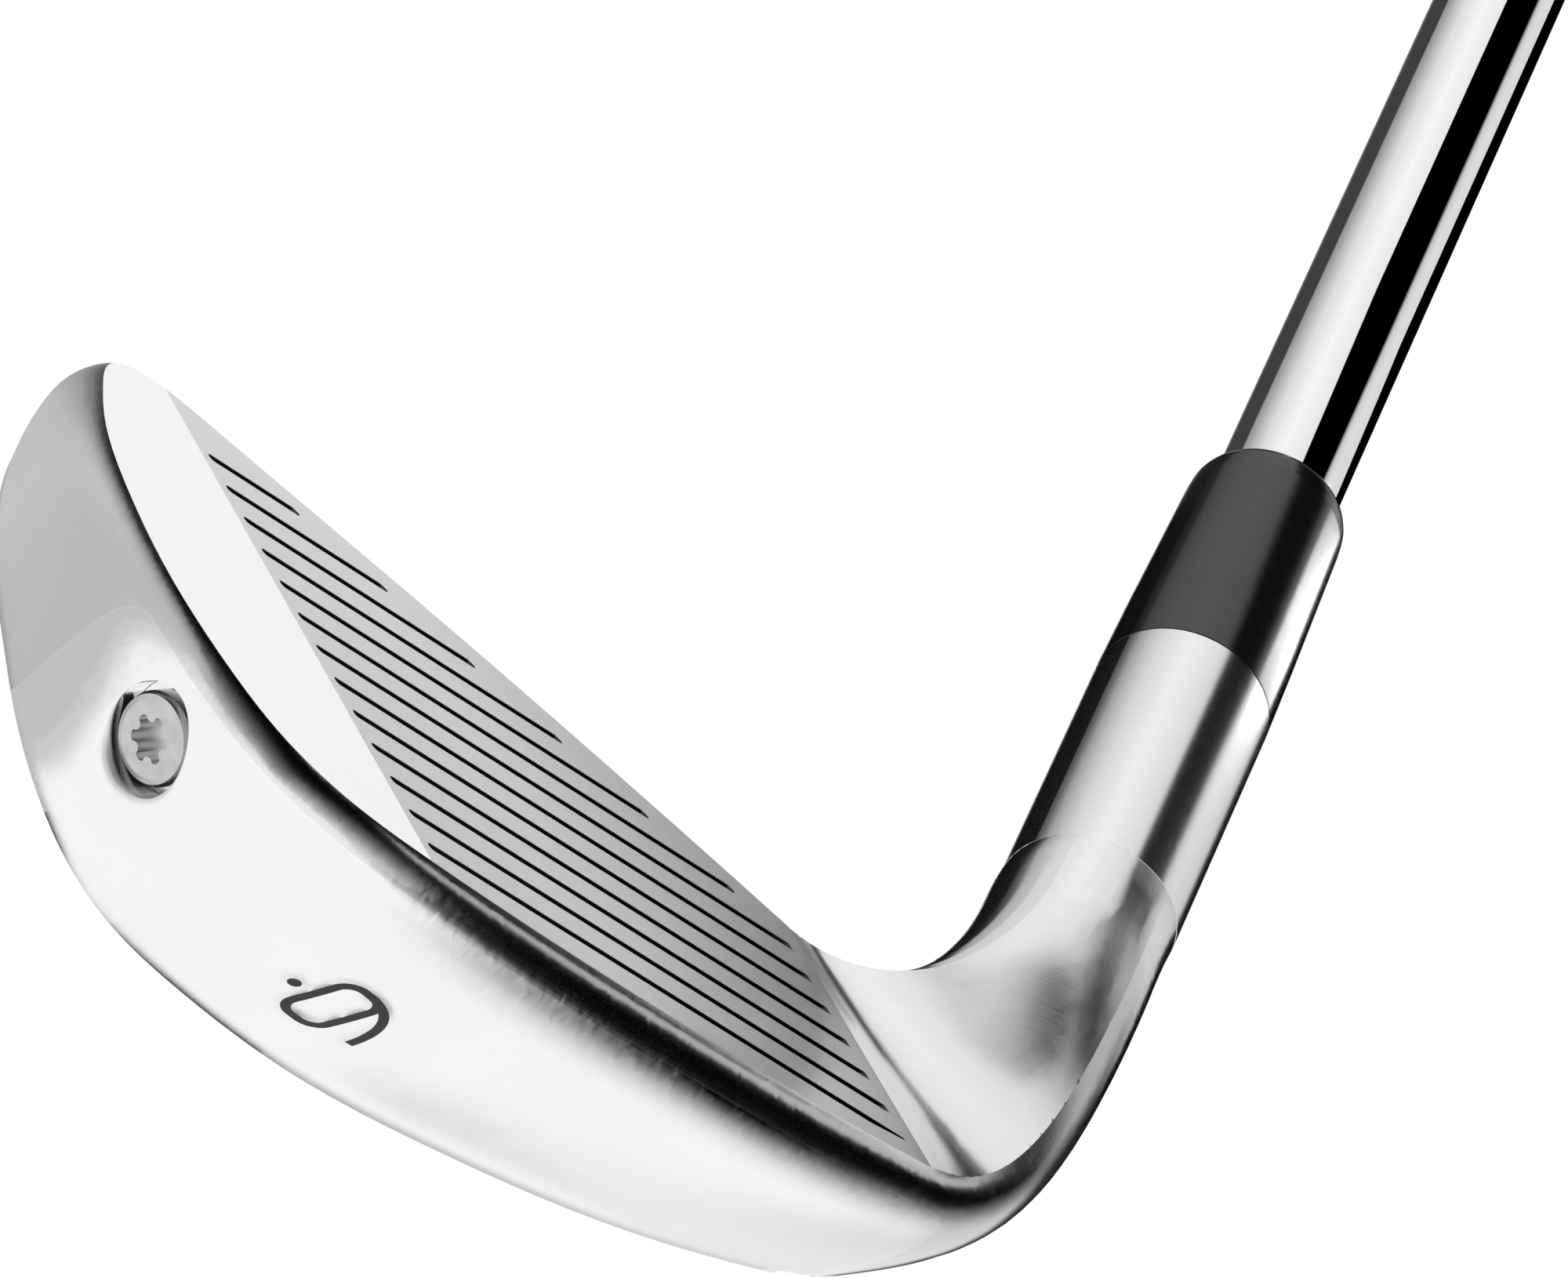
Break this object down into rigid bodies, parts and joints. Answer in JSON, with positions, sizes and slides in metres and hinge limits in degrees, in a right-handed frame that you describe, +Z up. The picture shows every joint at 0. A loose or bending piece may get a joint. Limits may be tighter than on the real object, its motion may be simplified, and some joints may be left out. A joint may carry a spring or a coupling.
{
  "type": "iron golf club",
  "caption": "Right-handed hollow-bodied mid iron with a grooved face, black ferrule, stepped steel shaft, rubber grip and a sealing screw in the toe.",
  "frame": {"origin": "the point of the sole that rests on the ground under the middle of the face, with the club held at its 62.2 degree lie", "axes": "+X from heel to toe, +Y toward the target, out of the front of the club, +Z up; the shaft leans toward -X"},
  "size_m": [0.5282, 0.0425, 0.8476],
  "materials": {
    "head_body": "satin-brushed forged steel with a mirror-polished sole",
    "face_plate": "bead-blasted score zone, polished toe strip",
    "foam_core": "expanding urethane foam, stored as plastic",
    "tungsten_weight": "sintered tungsten alloy, stored as iron",
    "number_paint": "black enamel fill",
    "dot_paint": "black enamel fill",
    "back_badge": "dark brushed aluminium",
    "badge_pad": "foam adhesive tape",
    "toe_screw": "turned stainless steel",
    "toe_screw_seal": "black sealing washer",
    "hosel_epoxy": "set epoxy",
    "ferrule": "polished black plastic",
    "shaft": "bright chrome plate",
    "tip_weight": "turned brass",
    "grip_tape": "paper tape with adhesive on both sides",
    "grip": "black moulded rubber with a non-slip pattern",
    "grip_cap": "black moulded rubber"
  },
  "bodies": {
    "club": {"head_body": "head_body", "face_plate": "face_plate", "foam_core": "foam_core", "tungsten_weight": "tungsten_weight", "number_paint": "number_paint", "dot_paint": "dot_paint", "back_badge": "back_badge", "badge_pad": "badge_pad", "hosel_epoxy": "hosel_epoxy", "ferrule": "ferrule", "shaft": "shaft", "tip_weight": "tip_weight", "grip_tape": "grip_tape", "grip": "grip", "grip_cap": "grip_cap"},
    "seal": {"toe_screw_seal": "toe_screw_seal"},
    "screw": {"toe_screw": "toe_screw"}
  },
  "joints": [
    {"name": "screw_travel", "type": "slide", "parent": "club", "child": "seal", "axis": [0.8841, -0.157, -0.4401], "range_m": [0, 0.0044]},
    {"name": "screw_turn", "type": "hinge", "parent": "seal", "child": "screw", "pos_m": [0.0429, -0.00409, 0.01177], "axis": [0.8841, -0.157, -0.4401], "range_deg": [0, 1980]}
  ],
  "couplings": [
    {"joint": "screw_turn", "follows": "screw_travel", "rad_per_m": 7854}
  ]
}
